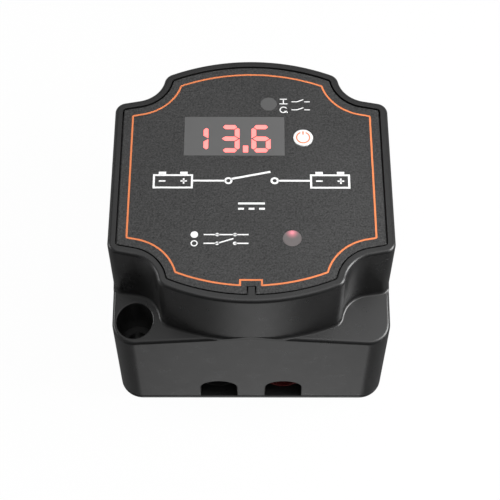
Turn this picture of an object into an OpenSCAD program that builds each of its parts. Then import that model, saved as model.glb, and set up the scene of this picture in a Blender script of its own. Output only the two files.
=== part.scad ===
// Battery isolator relay: a compact moulded box that joins two batteries through one heavy contact.
// Units are millimetres. +Z is up, the cable notches face -Y and the origin is the middle of the underside.
// The stack of heights runs from the base plate up through the terminals, the relay and the circuit board,
// so the overall height is the sum of its layers.

/* [Housing] */
// Overall width, left to right
body_w = 68; // [66:0.5:76]
// Overall depth over the bowed front and back
body_d = 70.4; // [69:0.2:78]
// Thickness of the side walls
wall = 2.4; // [1.8:0.1:2.8]
// Thickness of the top wall under the label
top_wall = 2; // [1.6:0.1:3]
// How far the corner shelves lie below the rim
shelf_drop = 18.9; // [16:0.1:21]
// How much the shelves fall from the middle to the sides
shelf_fall = 3; // [0.5:0.1:3.4]
// How much the shelves rise from the front and back edges to the ledges
shelf_rise = 1.4; // [0.5:0.1:2.4]
// Radius of the four upright corners of the base
corner_r = 5.5; // [4:0.5:7]
// Radius of the bowed front and back faces
bow_r = 44.5; // [40:0.5:60]
// Radius of the four hollow corners of the upper part
notch_r = 9.3; // [8:0.1:10]
// How far the upper walls lean in between shelf and rim
wall_lean = 0.3; // [0.1:0.05:0.5]
// Radius of the rounded rim edge
rim_edge_r = 0.9; // [0.4:0.1:1.2]
// Width of the rim round the label, seen from above
rim_w = 1.65; // [1.3:0.05:2]

/* [Mounting] */
// Diameter of the two screw holes
mount_d = 5.6; // [4:0.1:6.4]
// Diameter of the wide bore that takes the screw head
head_bore_d = 9; // [8:0.1:9.4]
// Depth of the wide bore below the shelf
head_bore_depth = 11.5; // [6:0.5:16]
// Hole centres in from the sides
mount_in_x = 5.6; // [5.4:0.1:6.4]
// Hole centres in from the front and back
mount_in_y = 5.9; // [5.4:0.1:6.4]
// Thickness of the base plate
plate_t = 1.2; // [1:0.1:2]

/* [Cable notches] */
// Width of each cable notch
cable_w = 9.1; // [6:0.1:11]
// Height of each cable notch above the base plate
cable_h = 8.5; // [6:0.1:9.4]
// Distance of each notch from the middle
cable_x = 8.3; // [7:0.1:10]

/* [Label and window] */
// Width of the display window
window_w = 24.75; // [20:0.25:26]
// Height of the display window, front to back
window_l = 11.7; // [10:0.1:13]
// Window centre left of the middle
window_x = 4.2; // [2:0.1:6]
// Window centre behind the middle
window_y = 11.65; // [10:0.05:13]
// Diameter of the power button
button_d = 5; // [4:0.1:5.6]
// Button centre right of the middle
button_x = 12.75; // [12.5:0.05:16]
// Button centre behind the middle
button_y = 10.9; // [6:0.1:14]
// How far the button goes down
button_travel = 0.4; // [0.2:0.05:0.5]
// Diameter of the small round window behind the display
mode_d = 4.1; // [3:0.1:5]
// Diameter of the small round window in front of the display
status_d = 4.4; // [3:0.1:5]

/* [Terminals] */
// Height of the cable bay
bay_h = 12; // [11.4:0.1:15]
// Thickness of the insulating carrier
carrier_t = 2.4; // [1.8:0.1:4]
// Diameter of the threaded studs
stud_d = 6; // [5:0.5:6.5]
// Distance of each stud from the middle
stud_x = 9; // [8.8:0.1:11]
// Thickness of the stud heads
stud_head_t = 2.4; // [1.6:0.1:4]
// Nut size across the flats
nut_af = 10; // [8:0.5:10.5]
// Nut height
nut_h = 5; // [4:0.2:5.4]

/* [Relay] */
// Outer diameter of the coil bobbin
bobbin_d = 28; // [24:0.5:30]
// Height of the coil bobbin
bobbin_h = 10.6; // [10:0.2:16]
// Diameter of the moving plunger
plunger_d = 9.5; // [8.4:0.1:11]
// Open gap between the contacts
contact_gap = 1.5; // [1:0.1:2]
// Extra plunger travel that loads the contacts
over_travel = 0.4; // [0.2:0.05:0.6]
// Thickness of the contact bridge
bridge_t = 1.6; // [1:0.1:3]
// Width of the contact bridge
bridge_w = 8; // [7:0.5:9.5]
// Thickness of the iron frame
frame_t = 1.6; // [1:0.1:2.4]

/* [Electronics] */
// Thickness of the circuit board
board_t = 1.6; // [1:0.1:2]
// Height from the board to the top wall
board_space = 5.6; // [5.4:0.1:8]

/* [Hidden] */

// One overrun serves every cut, and these clearances serve every fit.
cut = 1;
fit = 0.05;
slip = 0.15;
seam = 0.3;

// Roundness of turned pieces and of the outline's arcs.
round_fn = 64;
small_fn = 32;
shoulder_steps = 5;
notch_steps = 9;
horn_steps = 4;
bow_steps = 10;
edge_steps = 4;
coil_steps = 8;
wire_sides = 6;

// Plan of the upper part.
notch_in_x = 3.25;
notch_in_y = 3.8;
ledge_angle = 12;
shoulder_r = 2.4;
horn_r = 2;
sharp_r = 0.3;
join_step = 0.05;
join_depth = 3;
notch_x = body_w / 2 - notch_in_x;
notch_y = body_d / 2 - notch_in_y;
bow_y = body_d / 2 - bow_r;

// Edges of the base and of the shelves.
shelf_edge_r = 0.8;
foot_chamfer = 0.4;
shelf_wall = 2.4;
corner_x = body_w / 2 - corner_r;
corner_y = body_d / 2 - corner_r;

// Where the ledge line meets the straight side, and the slopes of the shelves.
ledge_y = notch_y - notch_r / cos(ledge_angle) - notch_in_x * tan(ledge_angle);
fall_slope = shelf_fall / (body_w / 2);
rise_slope = shelf_rise / (body_d / 2 - ledge_y);

// Sizes of the small pieces.
strip_t = 0.5;
strip_w = 3;
tip_t = 0.8;
tip_d = 6;
contact_spring_l = 3;
collar_t = 0.8;
collar_gap = 0.4;
frame_top_t = 1.4;
board_under = 1.3;
label_t = 0.3;
label_sunk = 0.2;
lens_t = 1.5;
lens_ledge = 0.8;

// The stack of heights, from the underside up.
carrier_z = plate_t + bay_h;
carrier_top = carrier_z + carrier_t;
stud_head_z = carrier_top + strip_t;
fixed_tip_z = stud_head_z + stud_head_t;
moving_tip_z = fixed_tip_z + tip_t + contact_gap;
bridge_z = moving_tip_z + tip_t;
bridge_top = bridge_z + bridge_t;
collar_z = bridge_top + contact_spring_l;
frame_z = collar_z + collar_t + collar_gap;
bobbin_z = frame_z + frame_t;
frame_top_z = bobbin_z + bobbin_h;
relay_top = frame_top_z + frame_top_t;
board_z = relay_top + board_under;
board_top = board_z + board_t;
inside_top = board_top + board_space;
recess_z = inside_top + top_wall;
label_top = recess_z + label_t;
body_h = label_top + label_sunk;
shelf_h = body_h - shelf_drop;
shelf_low = shelf_h - shelf_fall;
low_ceiling = shelf_low - shelf_wall;

// The recess of the label and the tab that keys it.
recess_in = wall_lean + rim_w;
label_in = recess_in + fit + slip;
tab_w = 1.6;
tab_l = 2.2;

// Mounting holes and the columns round them.
mount_x = body_w / 2 - mount_in_x;
mount_y = body_d / 2 - mount_in_y;
column_wall = 1.9;
column_r = head_bore_d / 2 + column_wall;
plate_bore_gap = 0.3;

// Self-tapping screws: shank radius, head radius and head height.
screw_r = 1.5;
screw_head_r = 2.7;
screw_head_h = 1.9;
screw_bite = 6;
boss_r = 3.4;
boss_x = body_w / 2 - wall - screw_head_r - seam;
boss_y = 12;
plate_boss_r = 3.6;
csk_gap = 0.05;
board_screw_r = 1.1;
board_head_r = 2;
board_head_h = 1.1;
board_bite = 3.6;
post_r = 2.6;
post_in_x = 7;
post_in_y = 7.7;
post_x = body_w / 2 - post_in_x;
post_y = ledge_y - post_in_y;

// Cable bay.
cable_spring_share = 0.6;
arch_steps = 16;
cable_flare = 0.15;
divider_t = 1.6;
divider_gap = 0.3;

// Terminal hardware.
stud_head_d = 11;
stud_neck_d = 8;
stud_tail = 1.4;
washer_d = 12;
washer_t = 1.2;
lock_washer_d = 10.6;
lock_washer_t = 1.4;
lock_slit = 0.8;
stud_end_z = carrier_z - washer_t - lock_washer_t - nut_h - stud_tail;
boot_wall = 1.1;
boot_gap = 0.7;
boot_r = nut_af / sqrt(3) + boot_gap + boot_wall;
boot_floor_gap = 1;
sleeve_r = 4.4;
sleeve_wall = 0.8;
sleeve_lift = 0.3;
sleeve_z = plate_t + sleeve_lift + sleeve_r;

// Relay.
tube_wall = 1;
tube_gap = 0.25;
flange_t = 1;
winding_in = 0.8;
core_share = 0.42;
rod_r = 1.5;
rod_tail = 1.2;
clip_r = 2.6;
clip_t = 0.6;
collar_r = 3.4;
spring_seat_r = 3.2;
spring_seat_depth = 2;
spring_wire_r = 0.25;
contact_spring_r = 2.6;
return_spring_r = 2.5;
contact_turns = 2;
return_turns = 4;
plunger_travel = contact_gap + over_travel;
plunger_rest_gap = 0.1;
plunger_proud = 0.3;
frame_gap = 0.9;
frame_in_w = bobbin_d + 2 * frame_gap;
frame_w = frame_in_w + 2 * frame_t;
frame_l = 35;
leg_l = 20;
core_r = plunger_d / 2;
core_top = bobbin_z + bobbin_h * core_share;
plunger_z = core_top + plunger_travel + plunger_rest_gap;
plunger_top = relay_top + plunger_proud;
chamber_wall = 1.6;
frame_screw_in = 3.2;
frame_screw_r = 1.25;
frame_head_r = 2.1;
frame_head_h = 1.5;
frame_post_r = 2.6;
frame_screw_x = frame_w / 2 - frame_screw_in;
frame_screw_y = frame_l / 2 - frame_screw_in;
bridge_over = 3.8;
strip_out = 3.5;
strip_x = frame_w / 2 + strip_out;
strip_slot_h = 0.6;
pin_r = 0.45;
pin_x = 4;
pin_tab_w = 12;
pin_in = 1.6;
solder_tail = 0.9;
pin_root = 0.7;

// Board and what stands on it. The coil pins come up just behind the display.
board_edge_gap = 0.5;
display_w = 24;
display_l = 11.4;
pin_gap = 0.5;
pin_y = window_y + display_l / 2 + pin_gap + pin_r;
display_roof_gap = 0.3;
switch_w = 6;
switch_h = 3.4;
switch_bore_r = 1.75;
switch_bore_depth = 1.4;
knob_r = 1.7;
knob_proud = 1.1;
cap_flange_r = 3.4;
cap_flange_t = 0.6;
led_r = 1.5;
led_flange_r = 1.9;
led_flange_t = 0.8;
led_roof_gap = 0.5;
mode_x = 4.3;
mode_y = 21.5;
status_x = 9.6;
status_y = 17.9;
part_gap = 1.4;
chip_size = [8.7, 5, 1.6];
chip_at = [-9, -9];
transistor_size = [6.6, 6.1, 2.3];
transistor_at = [strip_x, -(strip_w + transistor_size.y) / 2 - part_gap];
diode_size = [4.4, 2.7, 2.2];
diode_at = [strip_x - (transistor_size.x + diode_size.x) / 2 - part_gap, transistor_at.y];
capacitor_r = 3.15;
capacitor_h = 5;
capacitor_in = [11.75, 13.4];
capacitor_at = [capacitor_in.x - notch_x, capacitor_in.y - notch_y];
capacitor_foot = [6.6, 6.6, 0.8];

// Points of one arc, its first point left out when it starts where the last arc ended.
function arc(centre, r, from, to, steps, first = 0) = [
    for (k = [first:steps])
        let (a = from + (to - from) * k / steps)
        [centre.x + r * cos(a), centre.y + r * sin(a)]
];

function angle_of(v) = atan2(v.y, v.x);
function upright_angle(v) = angle_of(v) < 0 ? angle_of(v) + 360 : angle_of(v);

// Where two circles cross, on the left of the way from the first centre to the second.
function crossing(c1, r1, c2, r2) =
    let (
        gap = c2 - c1,
        d = norm(gap),
        along = (r1 * r1 - r2 * r2 + d * d) / (2 * d),
        aside = sqrt(r1 * r1 - along * along),
        u = gap / d
    )
    c1 + along * u + aside * [-u.y, u.x];

// One quarter of the upper plan, set in by a given amount: the rounded shoulder of the straight side, the sloping
// ledge, the hollow corner, the rounded horn and half of the bow.
function quarter(in) =
    let (
        hollow = [notch_x, notch_y],
        bow = [0, bow_y],
        n = [sin(ledge_angle), cos(ledge_angle)],
        rs = max(shoulder_r - in, sharp_r),
        rh = max(horn_r - in, sharp_r),
        sx = body_w / 2 - in - rs,
        sy = (n * hollow - notch_r - in - rs - n.x * sx) / n.y,
        horn = crossing(bow, bow_r - in - rh, hollow, notch_r + in + rh),
        bow_a = angle_of(horn - bow)
    )
    concat(
        arc([sx, sy], rs, 0, 90 - ledge_angle, shoulder_steps),
        arc(hollow, notch_r + in, 270 - ledge_angle, upright_angle(horn - hollow), notch_steps),
        arc(horn, rh, angle_of(hollow - horn), bow_a, horn_steps, 1),
        arc(bow, bow_r - in, bow_a, 90, bow_steps, 1)
    );

// The whole upper plan, anticlockwise from the right side.
function plan(in) =
    let (q = quarter(in), last = len(q) - 1)
    concat(
        q,
        [for (k = [last - 1:-1:0]) [-q[k].x, q[k].y]],
        [for (k = [0:last]) [-q[k].x, -q[k].y]],
        [for (k = [last - 1:-1:0]) [q[k].x, -q[k].y]]
    );

// A solid through plans of equal point count, each given as [inset, height], from the lowest up.
module loft(levels) {
    rings = [for (v = levels) [for (p = plan(v[0])) [p.x, p.y, v[1]]]];
    m = len(rings[0]);
    last = len(rings) - 1;
    points = [for (r = rings) each r];
    sides = [
        for (k = [0:last - 1], j = [0:m - 1])
            let (a = k * m + j, b = k * m + (j + 1) % m)
            each [[a, a + m, b + m], [a, b + m, b]]
    ];
    bottom = [for (j = [0:m - 1]) j];
    top = [for (j = [m - 1:-1:0]) last * m + j];
    polyhedron(points = points, faces = concat([bottom, top], sides), convexity = 6);
}

module plan_prism(in, z, h) {
    translate([0, 0, z])
        linear_extrude(height = h)
            polygon(plan(in));
}

// Rounded rectangle of the base, set in by a given amount.
module base_outline(in) {
    r = corner_r - in;
    square([body_w - 2 * in, body_d - 2 * corner_r], center = true);
    square([body_w - 2 * corner_r, body_d - 2 * in], center = true);
    for (sx = [-1, 1], sy = [-1, 1])
        translate([sx * corner_x, sy * corner_y])
            circle(r = r, $fn = round_fn);
}

module base_prism(in, z, h) {
    translate([0, 0, z])
        linear_extrude(height = h)
            base_outline(in);
}

// A closed helical spring of six-sided wire, standing on z.
module spring(r, wire_r, z, l, turns) {
    steps = turns * coil_steps;
    sides = wire_sides;
    rise = l - 2 * wire_r;
    points = [
        for (k = [0:steps], j = [0:sides - 1])
            let (a = 360 * k / coil_steps, b = 360 * j / sides, q = r + wire_r * cos(b))
            [q * cos(a), q * sin(a), z + wire_r + rise * k / steps + wire_r * sin(b)]
    ];
    skin = [
        for (k = [0:steps - 1], j = [0:sides - 1])
            let (a = k * sides + j, b = k * sides + (j + 1) % sides)
            each [[a, a + sides, b + sides], [a, b + sides, b]]
    ];
    start = [for (j = [0:sides - 1]) j];
    end = [for (j = [sides - 1:-1:0]) steps * sides + j];
    polyhedron(points = points, faces = concat([start, end], skin), convexity = 8);
}

// Screw with a pan head below and its shank going up.
module screw_up(shank_r, head_r, head_h, l) {
    cylinder(h = head_h, r = head_r, $fn = small_fn);
    translate([0, 0, head_h])
        cylinder(h = l, r = shank_r, $fn = small_fn);
}

// The screw holes lie front left and back right, the plate's own screws on the other diagonal.
module at_mounts() {
    for (s = [-1, 1])
        translate([s * mount_x, s * mount_y, 0])
            children();
}

module at_plate_screws() {
    for (s = [-1, 1])
        translate([s * mount_x, -s * mount_y, 0])
            children();
}

module at_four(x, y) {
    for (sx = [-1, 1], sy = [-1, 1])
        translate([sx * x, sy * y, 0])
            children();
}

// Height of the sloping corner shelves at a place on the plan.
function shelf_at(x, y) = shelf_h - fall_slope * x + rise_slope * (body_d / 2 - y);

// A rounded point of the base, just under the shelf plane.
module shelf_bead(x, y) {
    translate([0, 0, shelf_at(x, y) - shelf_edge_r])
        at_four(x, y)
            sphere(r = shelf_edge_r, $fn = small_fn / 2);
}

// The base: four rounded columns topped by rounded discs that are sheared to the slopes of the shelves, drawn
// together with beads that carry the same four planes on under the upper part.
module base_block() {
    hull() {
        at_four(corner_x, corner_y) {
            translate([0, 0, plate_t])
                cylinder(h = cut, r = corner_r - foot_chamfer, $fn = round_fn);
            translate([0, 0, plate_t + foot_chamfer])
                cylinder(h = cut, r = corner_r, $fn = round_fn);
        }
        for (sx = [-1, 1], sy = [-1, 1])
            translate([sx * corner_x, sy * corner_y, shelf_at(corner_x, corner_y) - shelf_edge_r])
                multmatrix([[1, 0, 0, 0], [0, 1, 0, 0], [-sx * fall_slope, -sy * rise_slope, 1, 0]])
                    rotate_extrude($fn = round_fn)
                        translate([corner_r - shelf_edge_r, 0])
                            circle(r = shelf_edge_r, $fn = small_fn / 2);
        shelf_bead(0, body_d / 2 - shelf_edge_r);
        shelf_bead(body_w / 2 - shelf_edge_r, ledge_y);
        shelf_bead(notch_x - notch_r, ledge_y);
    }
}

// The upper part: leaning walls and a rounded rim edge.
module upper_block() {
    lower_z = shelf_low - join_depth;
    levels = concat(
        [[join_step, lower_z]],
        [
            for (k = [0:edge_steps])
                let (a = 90 * k / edge_steps)
                [wall_lean + rim_edge_r * (1 - cos(a)), body_h - rim_edge_r * (1 - sin(a))]
        ]
    );
    loft(levels);
}

module label_recess() {
    difference() {
        plan_prism(recess_in, recess_z, body_h - recess_z + cut);
        label_tab(0);
    }
}

// The tab of the rim that keys the label, wider by a given gap.
module label_tab(gap) {
    reach = body_d / 2 - recess_in - tab_l - gap;
    translate([-tab_w / 2 - gap, -body_d / 2, recess_z - cut])
        cube([tab_w + 2 * gap, body_d / 2 - reach, body_h - recess_z + 2 * cut]);
}

// Cable notch: straight, slightly flared sides under half an ellipse.
module cable_notch() {
    spring_h = cable_h * cable_spring_share;
    arch = [
        for (k = [0:arch_steps])
            let (a = 180 * k / arch_steps)
            [cable_w / 2 * cos(a), spring_h + (cable_h - spring_h) * sin(a)]
    ];
    foot = cable_w / 2 + cable_flare;
    translate([0, -body_d / 2 + wall + cut, plate_t])
        rotate([90, 0, 0])
            linear_extrude(height = wall + 2 * cut)
                polygon(concat([[-foot, -cut], [foot, -cut]], arch));
}

module housing_posts() {
    at_mounts()
        translate([0, 0, plate_t])
            cylinder(h = low_ceiling - plate_t + shelf_wall / 2, r = column_r, $fn = round_fn);
    at_plate_screws()
        translate([0, 0, plate_t])
            cylinder(h = low_ceiling - plate_t + shelf_wall / 2, r = plate_boss_r, $fn = round_fn);
    at_four(boss_x, boss_y)
        translate([0, 0, carrier_top])
            cylinder(h = low_ceiling - carrier_top, r = boss_r, $fn = small_fn);
    translate([-divider_t / 2, -body_d / 2 + wall / 2, plate_t])
        cube([divider_t, body_d - wall, bay_h - divider_gap]);
}

module board_posts() {
    at_four(post_x, post_y)
        translate([0, 0, board_top])
            cylinder(h = inside_top - board_top + top_wall / 2, r = post_r, $fn = small_fn);
}

module housing() {
    color([0.17, 0.17, 0.175])
    difference() {
        union() {
            difference() {
                union() {
                    base_block();
                    upper_block();
                }
                base_prism(wall, plate_t - cut, low_ceiling - plate_t + cut);
                plan_prism(wall, shelf_low - join_depth - shelf_wall, inside_top - shelf_low + join_depth + shelf_wall);
            }
            intersection() {
                base_prism(wall / 2, plate_t, low_ceiling - plate_t + shelf_wall / 2);
                housing_posts();
            }
            board_posts();
        }
        label_recess();
        for (s = [-1, 1])
            translate([s * cable_x, 0, 0])
                cable_notch();
        at_mounts() {
            cylinder(h = body_h, r = mount_d / 2, $fn = round_fn);
            translate([0, 0, shelf_at(mount_x, mount_y) - head_bore_depth])
                cylinder(h = body_h, r = head_bore_d / 2, $fn = round_fn);
        }
        at_plate_screws()
            cylinder(h = plate_t + screw_bite + cut, r = screw_r + fit, $fn = small_fn);
        at_four(boss_x, boss_y)
            translate([0, 0, carrier_top - cut])
                cylinder(h = screw_bite + 2 * cut, r = screw_r + fit, $fn = small_fn);
        at_four(post_x, post_y)
            translate([0, 0, board_top - cut])
                cylinder(h = board_bite + 2 * cut, r = board_screw_r + fit, $fn = small_fn);
        window_opening();
        round_opening(mode_x, mode_y, mode_d);
        round_opening(status_x, -status_y, status_d);
        translate([button_x, button_y, inside_top - cut])
            cylinder(h = body_h, r = button_d / 2 + slip, $fn = round_fn);
    }
}

// Opening of the display: the lens lies on a ledge inside it.
module window_opening() {
    w = window_w + 2 * fit;
    l = window_l + 2 * fit;
    translate([-window_x, window_y, 0]) {
        translate([-w / 2, -l / 2, label_top - lens_t])
            cube([w, l, body_h]);
        translate([-w / 2 + lens_ledge, -l / 2 + lens_ledge, inside_top - cut])
            cube([w - 2 * lens_ledge, l - 2 * lens_ledge, body_h]);
    }
}

module round_opening(x, y, d) {
    translate([x, y, 0]) {
        translate([0, 0, label_top - lens_t])
            cylinder(h = body_h, r = d / 2 + fit, $fn = round_fn);
        translate([0, 0, inside_top - cut])
            cylinder(h = body_h, r = d / 2 - lens_ledge, $fn = round_fn);
    }
}

module base_plate() {
    color([0.15, 0.15, 0.155])
    difference() {
        base_prism(0, 0, plate_t);
        at_mounts()
            translate([0, 0, -cut])
                cylinder(h = plate_t + 2 * cut, r = mount_d / 2 + plate_bore_gap, $fn = round_fn);
        at_plate_screws() {
            translate([0, 0, -cut])
                cylinder(h = plate_t + 2 * cut, r = screw_r + slip, $fn = small_fn);
            csk_cone(slip);
        }
    }
}

// Countersunk cone from the underside up to the top of the plate.
module csk_cone(gap) {
    cylinder(h = plate_t, r1 = screw_head_r + gap, r2 = screw_r + gap, $fn = small_fn);
}

module base_plate_screws() {
    color([0.7, 0.71, 0.73])
    at_plate_screws() {
        translate([0, 0, csk_gap])
            cylinder(h = plate_t - csk_gap, r1 = screw_head_r, r2 = screw_r, $fn = small_fn);
        translate([0, 0, plate_t])
            cylinder(h = screw_bite, r = screw_r, $fn = small_fn);
    }
}

module label_overlay() {
    color([0.27, 0.27, 0.27])
    difference() {
        plan_prism(label_in, recess_z, label_t);
        label_tab(fit + slip);
        window_opening();
        round_opening(mode_x, mode_y, mode_d);
        round_opening(status_x, -status_y, status_d);
        translate([button_x, button_y, recess_z - cut])
            cylinder(h = label_t + 2 * cut, r = button_d / 2 + slip, $fn = round_fn);
    }
}

module display_window() {
    color([0.45, 0.45, 0.45, 0.6])
    translate([-window_x - window_w / 2, window_y - window_l / 2, label_top - lens_t])
        cube([window_w, window_l, lens_t]);
}

module round_lens(x, y, d) {
    translate([x, y, label_top - lens_t])
        cylinder(h = lens_t, r = d / 2, $fn = round_fn);
}

module mode_led_window() {
    color([0.5, 0.5, 0.5, 0.6])
    round_lens(mode_x, mode_y, mode_d);
}

module status_led_window() {
    color([0.55, 0.5, 0.5, 0.6])
    round_lens(status_x, -status_y, status_d);
}

// Button cap: a disc flush with the rim, a flange that keeps it in and a foot on the switch.
module power_button() {
    foot_z = board_top + switch_h + knob_proud;
    flange_z = inside_top - csk_gap - cap_flange_t;
    color([0.9, 0.9, 0.9])
    translate([button_x, button_y, 0]) {
        translate([0, 0, flange_z])
            cylinder(h = body_h - flange_z, r = button_d / 2, $fn = round_fn);
        translate([0, 0, flange_z])
            cylinder(h = cap_flange_t, r = cap_flange_r, $fn = round_fn);
        translate([0, 0, foot_z])
            cylinder(h = flange_z - foot_z + fit, r = knob_r, $fn = small_fn);
    }
}

module button_switch() {
    color([0.12, 0.12, 0.12])
    translate([button_x, button_y, board_top])
        difference() {
            translate([-switch_w / 2, -switch_w / 2, 0])
                cube([switch_w, switch_w, switch_h]);
            translate([0, 0, switch_h - switch_bore_depth])
                cylinder(h = switch_bore_depth + cut, r = switch_bore_r, $fn = small_fn);
        }
}

module switch_plunger() {
    sunk = switch_bore_depth - button_travel - csk_gap;
    color([0.3, 0.3, 0.3])
    translate([button_x, button_y, board_top + switch_h - sunk])
        cylinder(h = sunk + knob_proud, r = knob_r, $fn = small_fn);
}

module circuit_board() {
    color([0.1, 0.35, 0.18])
    difference() {
        plan_prism(wall + board_edge_gap, board_z, board_t);
        translate([0, 0, board_z - cut]) {
            at_four(post_x, post_y)
                cylinder(h = board_t + 2 * cut, r = board_screw_r + slip, $fn = small_fn);
            for (s = [-1, 1]) {
                translate([s * pin_x, pin_y, 0])
                    cylinder(h = board_t + 2 * cut, r = pin_r + slip, $fn = small_fn);
                translate([s * strip_x - strip_t / 2 - slip, -strip_w / 2 - slip, 0])
                    cube([strip_t + 2 * slip, strip_w + 2 * slip, board_t + 2 * cut]);
            }
        }
    }
}

module board_screws() {
    color([0.75, 0.75, 0.77])
    translate([0, 0, board_z - board_head_h])
        at_four(post_x, post_y)
            screw_up(board_screw_r, board_head_r, board_head_h, board_t + board_bite);
}

module display_module() {
    color([0.16, 0.14, 0.14])
    translate([-window_x - display_w / 2, window_y - display_l / 2, board_top])
        cube([display_w, display_l, board_space - display_roof_gap]);
}

// Domed light-emitting diode that stands on the board.
module led_lamp() {
    dome_z = board_space - led_roof_gap - led_r;
    cylinder(h = led_flange_t, r = led_flange_r, $fn = small_fn);
    cylinder(h = dome_z, r = led_r, $fn = small_fn);
    translate([0, 0, dome_z])
        sphere(r = led_r, $fn = small_fn);
}

module mode_led() {
    color([0.8, 0.85, 0.8])
    translate([mode_x, mode_y, board_top])
        led_lamp();
}

module status_led() {
    color([0.95, 0.4, 0.35])
    translate([status_x, -status_y, board_top])
        led_lamp();
}

module on_board(at, size) {
    translate([at.x - size.x / 2, at.y - size.y / 2, board_top])
        cube(size);
}

module controller_chip() {
    color([0.1, 0.1, 0.1])
    on_board(chip_at, chip_size);
}

module driver_transistor() {
    color([0.12, 0.12, 0.12])
    on_board(transistor_at, transistor_size);
}

module flyback_diode() {
    color([0.14, 0.14, 0.14])
    on_board(diode_at, diode_size);
}

module supply_capacitor() {
    color([0.75, 0.76, 0.78]) {
        on_board(capacitor_at, capacitor_foot);
        translate([capacitor_at.x, capacitor_at.y, board_top])
            cylinder(h = capacitor_h, r = capacitor_r, $fn = round_fn);
    }
}

// Insulating carrier: a plate that closes the cable bay and a walled chamber round the contacts.
module terminal_carrier() {
    chamber_h = frame_z - carrier_top;
    color([0.78, 0.74, 0.66])
    difference() {
        union() {
            difference() {
                base_prism(wall + seam, carrier_z, carrier_t);
                at_mounts()
                    translate([0, 0, carrier_z - cut])
                        cylinder(h = carrier_t + 2 * cut, r = column_r + seam, $fn = round_fn);
                at_plate_screws()
                    translate([0, 0, carrier_z - cut])
                        cylinder(h = carrier_t + 2 * cut, r = plate_boss_r + seam, $fn = round_fn);
            }
            translate([0, 0, carrier_top]) {
                difference() {
                    translate([-frame_w / 2, -frame_l / 2, 0])
                        cube([frame_w, frame_l, chamber_h]);
                    translate([-frame_w / 2 + chamber_wall, -frame_l / 2 + chamber_wall, -cut])
                        cube([frame_w - 2 * chamber_wall, frame_l - 2 * chamber_wall, chamber_h + 2 * cut]);
                }
                at_four(frame_screw_x, frame_screw_y)
                    cylinder(h = chamber_h, r = frame_post_r, $fn = small_fn);
            }
        }
        for (s = [-1, 1]) {
            translate([s * stud_x, 0, carrier_z - cut])
                cylinder(h = carrier_t + 2 * cut, r = stud_neck_d / 2 + fit, $fn = round_fn);
            translate([s * (frame_w / 2 - chamber_wall / 2), 0, carrier_top + (strip_t + strip_slot_h) / 2])
                cube([chamber_wall + 2 * cut, strip_w + 2 * slip, strip_t + strip_slot_h], center = true);
        }
        at_four(boss_x, boss_y)
            translate([0, 0, carrier_z - cut])
                cylinder(h = carrier_t + 2 * cut, r = screw_r + slip, $fn = small_fn);
        at_four(frame_screw_x, frame_screw_y)
            translate([0, 0, frame_z - screw_bite])
                cylinder(h = screw_bite + cut, r = frame_screw_r + fit, $fn = small_fn);
    }
}

module carrier_screws() {
    color([0.75, 0.75, 0.77])
    translate([0, 0, carrier_z - screw_head_h])
        at_four(boss_x, boss_y)
            screw_up(screw_r, screw_head_r, screw_head_h, carrier_t + screw_bite);
}

// Copper stud: contact head, neck in the carrier and threaded shank pointing down into the bay.
module stud() {
    translate([0, 0, stud_head_z])
        cylinder(h = stud_head_t, r = stud_head_d / 2, $fn = round_fn);
    translate([0, 0, carrier_z])
        cylinder(h = stud_head_z - carrier_z, r = stud_neck_d / 2, $fn = round_fn);
    translate([0, 0, stud_end_z])
        cylinder(h = carrier_z - stud_end_z, r = stud_d / 2, $fn = round_fn);
}

module input_stud() {
    color([0.8, 0.5, 0.3])
    translate([stud_x, 0, 0])
        stud();
}

module output_stud() {
    color([0.8, 0.5, 0.3])
    translate([-stud_x, 0, 0])
        stud();
}

module flat_washers() {
    color([0.75, 0.75, 0.78])
    for (s = [-1, 1])
        translate([s * stud_x, 0, carrier_z - washer_t])
            difference() {
                cylinder(h = washer_t, r = washer_d / 2, $fn = round_fn);
                translate([0, 0, -cut])
                    cylinder(h = washer_t + 2 * cut, r = stud_d / 2 + slip, $fn = round_fn);
            }
}

module spring_washers() {
    color([0.6, 0.6, 0.63])
    for (s = [-1, 1])
        translate([s * stud_x, 0, carrier_z - washer_t - lock_washer_t])
            difference() {
                cylinder(h = lock_washer_t, r = lock_washer_d / 2, $fn = round_fn);
                translate([0, 0, -cut])
                    cylinder(h = lock_washer_t + 2 * cut, r = stud_d / 2 + slip, $fn = round_fn);
                translate([0, -lock_slit / 2, -cut])
                    cube([lock_washer_d, lock_slit, lock_washer_t + 2 * cut]);
            }
}

module stud_nuts() {
    color([0.78, 0.78, 0.8])
    for (s = [-1, 1])
        translate([s * stud_x, 0, stud_end_z + stud_tail])
            difference() {
                cylinder(h = nut_h, r = nut_af / sqrt(3), $fn = 6);
                translate([0, 0, -cut])
                    cylinder(h = nut_h + 2 * cut, r = stud_d / 2 + fit, $fn = round_fn);
            }
}

// Rubber boot: a hood over the nut and a sleeve that leads to the cable notch.
module boot(s) {
    floor_z = plate_t + boot_floor_gap;
    top_z = carrier_z - seam;
    mouth_y = body_d / 2 - wall - seam;
    difference() {
        union() {
            translate([s * stud_x, 0, floor_z])
                cylinder(h = top_z - floor_z, r = boot_r, $fn = round_fn);
            translate([s * cable_x, 0, sleeve_z])
                rotate([90, 0, 0])
                    cylinder(h = mouth_y, r = sleeve_r, $fn = round_fn);
        }
        translate([s * stud_x, 0, floor_z + boot_wall])
            cylinder(h = bay_h, r = boot_r - boot_wall, $fn = round_fn);
        translate([s * cable_x, 0, sleeve_z])
            rotate([90, 0, 0])
                cylinder(h = mouth_y + cut, r = sleeve_r - sleeve_wall, $fn = round_fn);
    }
}

module input_boot() {
    color([0.6, 0.08, 0.06])
    boot(1);
}

module output_boot() {
    color([0.08, 0.08, 0.08])
    boot(-1);
}

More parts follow.
